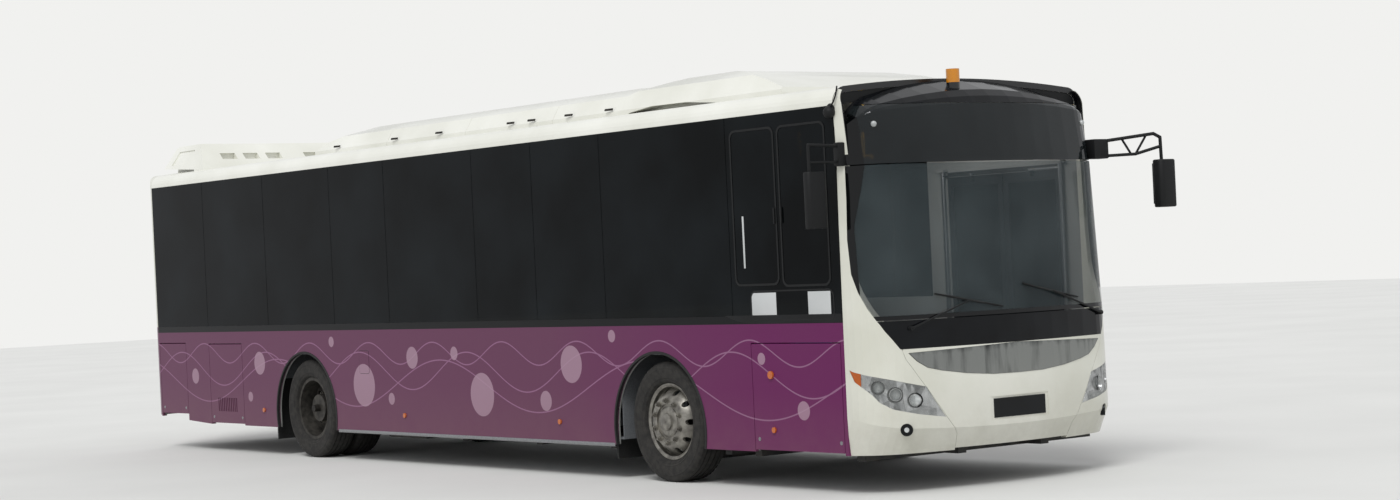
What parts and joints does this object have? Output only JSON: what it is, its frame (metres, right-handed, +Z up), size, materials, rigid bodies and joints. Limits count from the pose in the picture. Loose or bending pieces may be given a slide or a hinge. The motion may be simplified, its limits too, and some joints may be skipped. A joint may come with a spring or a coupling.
{
  "type": "airport passenger bus",
  "caption": "Single-deck airport passenger bus, low floor, right-hand drive, purple and white body, dark window band, doors on the left.",
  "frame": {"origin": "on the ground under the middle of the bus", "axes": "+X forward, +Y left (door side), +Z up"},
  "size_m": [12.05, 3.24, 3.23],
  "materials": {
    "paint_purple": "gloss paint, purple",
    "paint_white": "gloss paint, white",
    "black_gloss": "gloss black",
    "glass_dark": "tinted pane",
    "glass_clear": "clear pane",
    "chrome": "bright plating",
    "steel_grey": "chassis paint",
    "steel_bright": "satin steel",
    "aluminium": "anodised",
    "tyre": "rubber",
    "rubber": "matt rubber",
    "plastic_dark": "grained plastic",
    "amber": "amber lamp plastic",
    "red": "red lamp plastic",
    "yellow": "powder coat",
    "fabric": "seat fabric",
    "floor": "floor covering",
    "cast": "cast"
  },
  "bodies": {
    "bus_body": {"chassis_frame": "steel_grey", "floor_deck": "floor", "side_wall_right": "paint_purple", "side_wall_left": "paint_purple", "roof_shell": "paint_white", "front_mask": "paint_white", "front_bumper": "paint_white", "rear_panel": "paint_white", "windscreen": "glass_clear", "front_black_panels": "black_gloss", "destination_sign": "black_gloss", "windows_right": "glass_dark", "windows_left": "glass_dark", "rear_window": "glass_dark", "front_lamps": "chrome", "lamp_lenses": "glass_clear", "amber_lamps": "amber", "tail_lamps": "red", "chrome_strip": "chrome", "number_plates": "plastic_dark", "wipers": "plastic_dark", "mirror_left": "plastic_dark", "mirror_right": "plastic_dark", "ac_main_unit": "paint_white", "ac_rear_unit": "paint_white", "dashboard": "plastic_dark", "driver_seat": "fabric", "driver_partition": "paint_purple", "passenger_seats": "fabric", "handrails": "yellow", "engine_block": "cast", "rear_axle": "cast", "front_axle": "cast", "tanks": "steel_grey", "arch_liners": "rubber"},
    "wheel_front_left": {"rim_front_left": "steel_bright", "tyre_front_left": "tyre"},
    "wheel_front_right": {"rim_front_right": "steel_bright", "tyre_front_right": "tyre"},
    "wheel_rear_left": {"rim_rear_left": "steel_bright", "tyre_rear_left": "tyre"},
    "wheel_rear_right": {"rim_rear_right": "steel_bright", "tyre_rear_right": "tyre"},
    "knuckle_l": {"knuckle_left": "cast"},
    "knuckle_r": {"knuckle_right": "cast"},
    "steering_wheel": {"steering_wheel": "plastic_dark"},
    "engine_hatch": {"engine_hatch": "paint_purple"},
    "louvre_door": {"louvre_door": "paint_purple"},
    "corner_flap": {"corner_flap": "paint_purple"},
    "locker_door": {"locker_door": "paint_purple", "door_lamps": "amber"},
    "front_post_f": {"door_front_post_f": "steel_bright"},
    "front_leaf_f": {"door_front_leaf_f": "aluminium"},
    "front_post_r": {"door_front_post_r": "steel_bright"},
    "front_leaf_r": {"door_front_leaf_r": "aluminium"},
    "mid_post_f": {"door_mid_post_f": "steel_bright"},
    "mid_leaf_f": {"door_mid_leaf_f": "aluminium"},
    "mid_post_r": {"door_mid_post_r": "steel_bright"},
    "mid_leaf_r": {"door_mid_leaf_r": "aluminium"}
  },
  "joints": [
    {"name": "kingpin_left", "type": "hinge", "parent": "bus_body", "child": "knuckle_l", "pos_m": [3.28, 0.935, 0.478], "axis": [0, 0, 1], "range_deg": [-38, 38]},
    {"name": "kingpin_right", "type": "hinge", "parent": "bus_body", "child": "knuckle_r", "pos_m": [3.28, -0.935, 0.478], "axis": [0, 0, 1], "range_deg": [-38, 38]},
    {"name": "steering_wheel_turn", "type": "hinge", "parent": "bus_body", "child": "steering_wheel", "pos_m": [5.115, -0.7, 1.1], "axis": [-0.5358, 0, 0.8443], "range_deg": [-684, 684]},
    {"name": "wheel_front_left_spin", "type": "hinge", "parent": "knuckle_l", "child": "wheel_front_left", "pos_m": [3.28, 1.085, 0.478], "axis": [0, 1, 0], "continuous": true},
    {"name": "wheel_front_right_spin", "type": "hinge", "parent": "knuckle_r", "child": "wheel_front_right", "pos_m": [3.28, -1.085, 0.478], "axis": [0, 1, 0], "continuous": true},
    {"name": "wheel_rear_left_spin", "type": "hinge", "parent": "bus_body", "child": "wheel_rear_left", "pos_m": [-2.595, 1.08, 0.478], "axis": [0, 1, 0], "continuous": true},
    {"name": "wheel_rear_right_spin", "type": "hinge", "parent": "bus_body", "child": "wheel_rear_right", "pos_m": [-2.595, -1.08, 0.478], "axis": [0, 1, 0], "continuous": true},
    {"name": "engine_hatch_lift", "type": "hinge", "parent": "bus_body", "child": "engine_hatch", "pos_m": [-5.986, 0, 1.48], "axis": [0, 1, 0], "range_deg": [0, 80]},
    {"name": "louvre_door_lift", "type": "hinge", "parent": "bus_body", "child": "louvre_door", "pos_m": [-4.305, -1.236, 1.1], "axis": [-1, 0, 0], "range_deg": [0, 85]},
    {"name": "corner_flap_lift", "type": "hinge", "parent": "bus_body", "child": "corner_flap", "pos_m": [-5.54, -1.236, 1.11], "axis": [-1, 0, 0], "range_deg": [0, 85]},
    {"name": "locker_door_lift", "type": "hinge", "parent": "bus_body", "child": "locker_door", "pos_m": [4.95, -1.236, 1.08], "axis": [-1, 0, 0], "range_deg": [0, 85]},
    {"name": "front_post_r_turn", "type": "hinge", "parent": "bus_body", "child": "front_post_r", "pos_m": [4, 1.182, 1.3], "axis": [0, 0, -1], "range_deg": [0, 82]},
    {"name": "front_leaf_r_turn", "type": "hinge", "parent": "front_post_r", "child": "front_leaf_r", "pos_m": [4.3325, 1.182, 1.3], "axis": [0, 0, -1], "range_deg": [-164, 0]},
    {"name": "front_post_f_turn", "type": "hinge", "parent": "bus_body", "child": "front_post_f", "pos_m": [5.34, 1.182, 1.3], "axis": [0, 0, 1], "range_deg": [0, 82]},
    {"name": "front_leaf_f_turn", "type": "hinge", "parent": "front_post_f", "child": "front_leaf_f", "pos_m": [5.0075, 1.182, 1.3], "axis": [0, 0, 1], "range_deg": [-164, 0]},
    {"name": "mid_post_r_turn", "type": "hinge", "parent": "bus_body", "child": "mid_post_r", "pos_m": [-0.37, 1.182, 1.3], "axis": [0, 0, -1], "range_deg": [0, 82]},
    {"name": "mid_leaf_r_turn", "type": "hinge", "parent": "mid_post_r", "child": "mid_leaf_r", "pos_m": [-0.0375, 1.182, 1.3], "axis": [0, 0, -1], "range_deg": [-164, 0]},
    {"name": "mid_post_f_turn", "type": "hinge", "parent": "bus_body", "child": "mid_post_f", "pos_m": [0.97, 1.182, 1.3], "axis": [0, 0, 1], "range_deg": [0, 82]},
    {"name": "mid_leaf_f_turn", "type": "hinge", "parent": "mid_post_f", "child": "mid_leaf_f", "pos_m": [0.6375, 1.182, 1.3], "axis": [0, 0, 1], "range_deg": [-164, 0]}
  ],
  "couplings": [
    {"joint": "kingpin_right", "follows": "kingpin_left", "ratio": 1},
    {"joint": "steering_wheel_turn", "follows": "kingpin_left", "ratio": 18},
    {"joint": "front_leaf_r_turn", "follows": "front_post_r_turn", "ratio": -2},
    {"joint": "front_post_f_turn", "follows": "front_post_r_turn", "ratio": 1},
    {"joint": "front_leaf_f_turn", "follows": "front_post_r_turn", "ratio": -2},
    {"joint": "mid_leaf_r_turn", "follows": "mid_post_r_turn", "ratio": -2},
    {"joint": "mid_post_f_turn", "follows": "mid_post_r_turn", "ratio": 1},
    {"joint": "mid_leaf_f_turn", "follows": "mid_post_r_turn", "ratio": -2}
  ]
}
